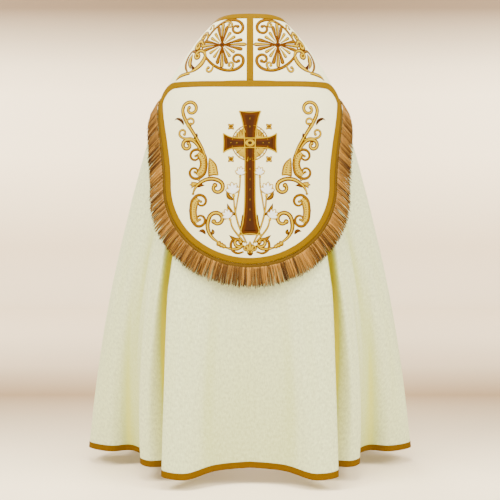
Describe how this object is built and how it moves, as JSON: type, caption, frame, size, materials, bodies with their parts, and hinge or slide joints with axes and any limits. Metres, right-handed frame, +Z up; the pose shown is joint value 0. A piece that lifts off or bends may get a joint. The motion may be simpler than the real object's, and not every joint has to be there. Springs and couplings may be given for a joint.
{
  "type": "cope vestment",
  "caption": "Long open cope in folds, with orphrey band, fringed shield hood, braided edges and a chest clasp tab, kept as worn and hollow.",
  "frame": {"origin": "middle of the neck opening, at the level where the cope rests on the shoulders", "axes": "+Z up, the wearer faces -Y, so the hood hangs on the +Y side; +X is the wearer's left"},
  "size_m": [1.112, 0.7247, 1.4812],
  "materials": {
    "mantle": "ivory damask, soft sheen",
    "silk": "white brocade, fine weave",
    "braid": "woven gold braid, satin",
    "bullion": "twisted gold bullion fringe"
  },
  "bodies": {
    "root": {"mantle_back": "mantle", "mantle_left": "mantle", "mantle_right": "mantle", "orphrey_left": "silk", "orphrey_right": "silk", "hood": "silk", "morse": "silk", "edge_braid": "braid", "seam_braid": "braid", "centre_braid": "braid", "hem_braid": "braid", "hood_braid": "braid", "morse_braid": "braid", "hood_fringe": "bullion"}
  },
  "joints": []
}
